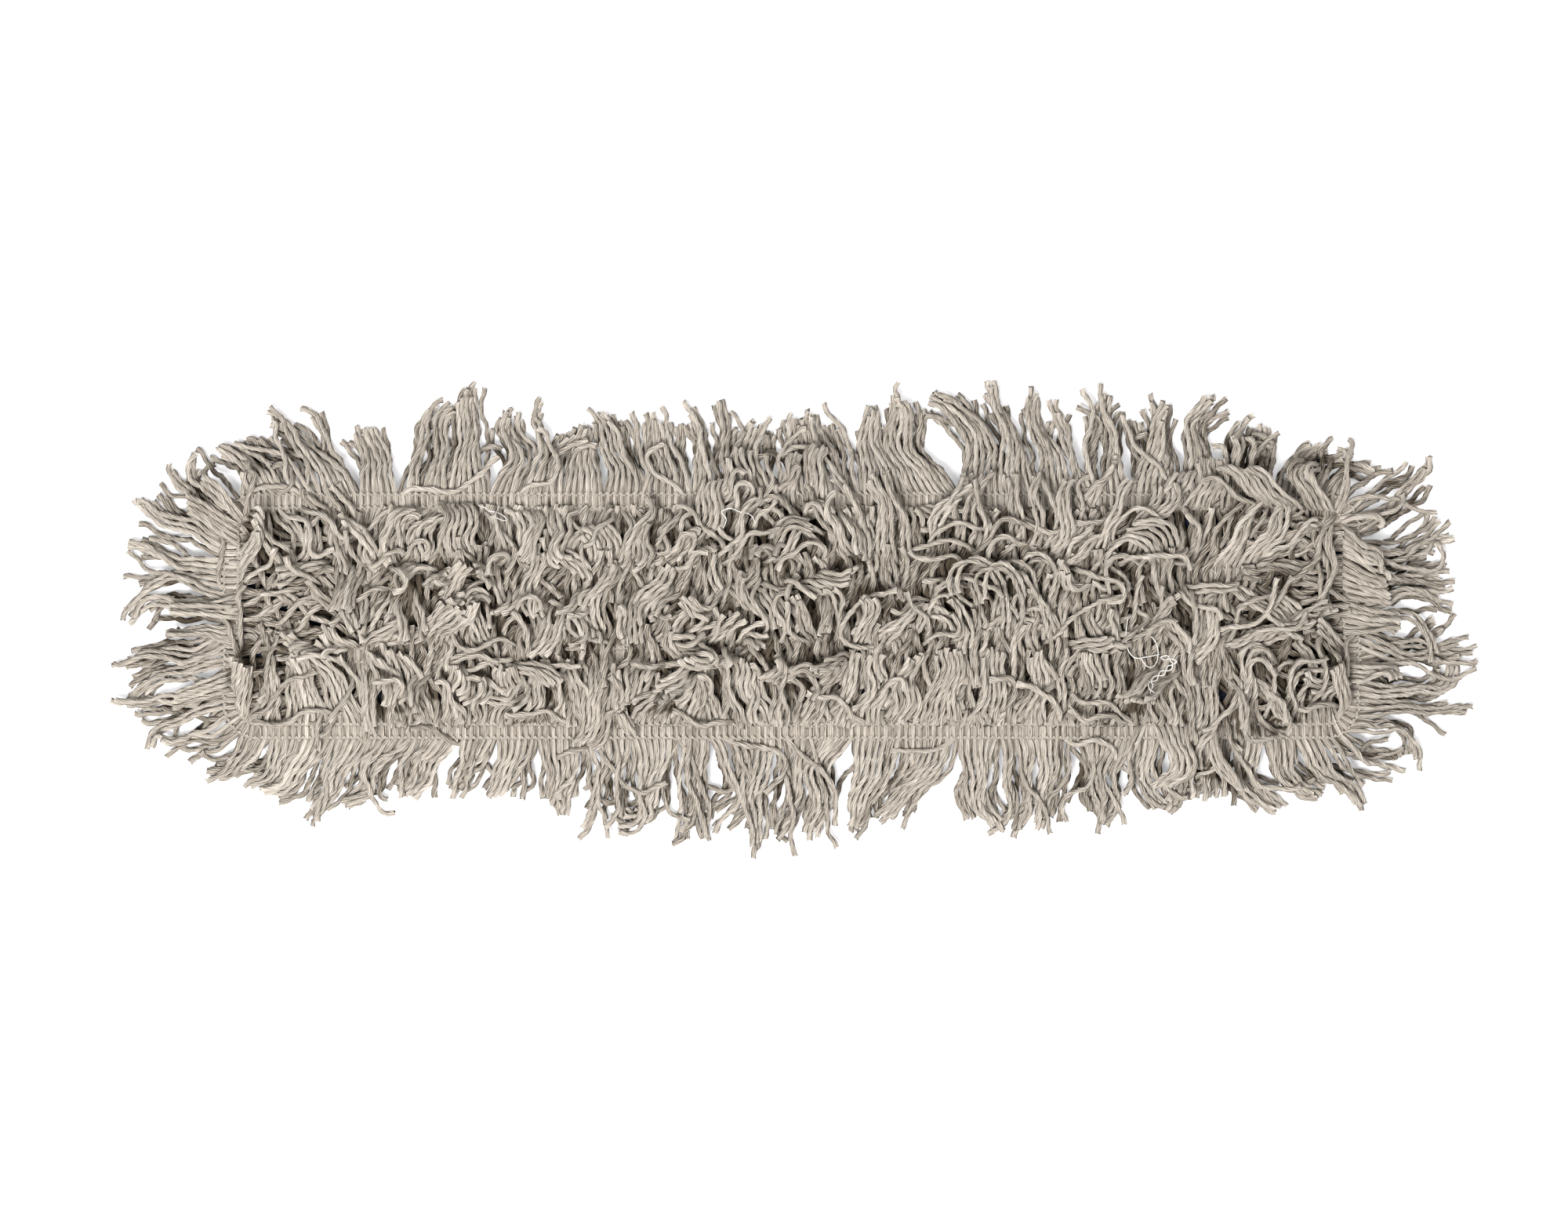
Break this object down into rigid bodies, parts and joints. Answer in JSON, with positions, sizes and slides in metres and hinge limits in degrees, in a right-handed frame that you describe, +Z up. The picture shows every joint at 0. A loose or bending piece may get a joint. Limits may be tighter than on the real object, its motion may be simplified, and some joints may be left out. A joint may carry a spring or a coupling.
{
  "type": "dust mop head",
  "caption": "Cut-end cotton dust mop head: canvas backing with slip-on pockets for a wire frame, sewn rows of twisted yarn and a loose fringe, folding across the middle.",
  "frame": {"origin": "on the floor below the middle of the head, which lies on its pockets with the yarn up", "axes": "+X along the head, +Y across it to the rear, +Z up, out of the yarn side"},
  "size_m": [0.7436, 0.261, 0.0343],
  "materials": {
    "canvas": "matte",
    "yarn": "matte",
    "thread": "matte"
  },
  "bodies": {
    "left_half": {"backing_left": "canvas", "pocket_left": "canvas", "pocket_seam_left": "thread", "end_row_left": "yarn", "end_seam_left": "thread", "rear_row_left": "yarn", "rear_seam_left": "thread", "rear_inner_row_left": "yarn", "rear_inner_seam_left": "thread", "front_row_left": "yarn", "front_seam_left": "thread", "front_inner_row_left": "yarn", "front_inner_seam_left": "thread"},
    "right_half": {"backing_right": "canvas", "pocket_right": "canvas", "pocket_seam_right": "thread", "end_row_right": "yarn", "end_seam_right": "thread", "rear_row_right": "yarn", "rear_seam_right": "thread", "rear_inner_row_right": "yarn", "rear_inner_seam_right": "thread", "front_row_right": "yarn", "front_seam_right": "thread", "front_inner_row_right": "yarn", "front_inner_seam_right": "thread"},
    "end_fringe_left": {"end_fringe_left": "yarn"},
    "rear_fringe_left": {"rear_fringe_left": "yarn"},
    "front_fringe_left": {"front_fringe_left": "yarn"},
    "end_fringe_right": {"end_fringe_right": "yarn"},
    "rear_fringe_right": {"rear_fringe_right": "yarn"},
    "front_fringe_right": {"front_fringe_right": "yarn"}
  },
  "joints": [
    {"name": "fold", "type": "hinge", "parent": "left_half", "child": "right_half", "pos_m": [0, 0, 0], "axis": [0, 1, 0], "range_deg": [0, 175]},
    {"name": "end_left_swing", "type": "hinge", "parent": "left_half", "child": "end_fringe_left", "pos_m": [-0.3117, 0, 0.01215], "axis": [0, 1, 0], "range_deg": [-65, 75]},
    {"name": "rear_left_swing", "type": "hinge", "parent": "left_half", "child": "rear_fringe_left", "pos_m": [-0.1448, 0.0704, 0.01215], "axis": [1, 0, 0], "range_deg": [-65, 75]},
    {"name": "front_left_swing", "type": "hinge", "parent": "left_half", "child": "front_fringe_left", "pos_m": [-0.1448, -0.0704, 0.01215], "axis": [-1, 0, 0], "range_deg": [-65, 75]},
    {"name": "end_right_swing", "type": "hinge", "parent": "right_half", "child": "end_fringe_right", "pos_m": [0.3117, 0, 0.01215], "axis": [0, -1, 0], "range_deg": [-65, 75]},
    {"name": "rear_right_swing", "type": "hinge", "parent": "right_half", "child": "rear_fringe_right", "pos_m": [0.1448, 0.0704, 0.01215], "axis": [1, 0, 0], "range_deg": [-65, 75]},
    {"name": "front_right_swing", "type": "hinge", "parent": "right_half", "child": "front_fringe_right", "pos_m": [0.1448, -0.0704, 0.01215], "axis": [-1, 0, 0], "range_deg": [-65, 75]}
  ]
}
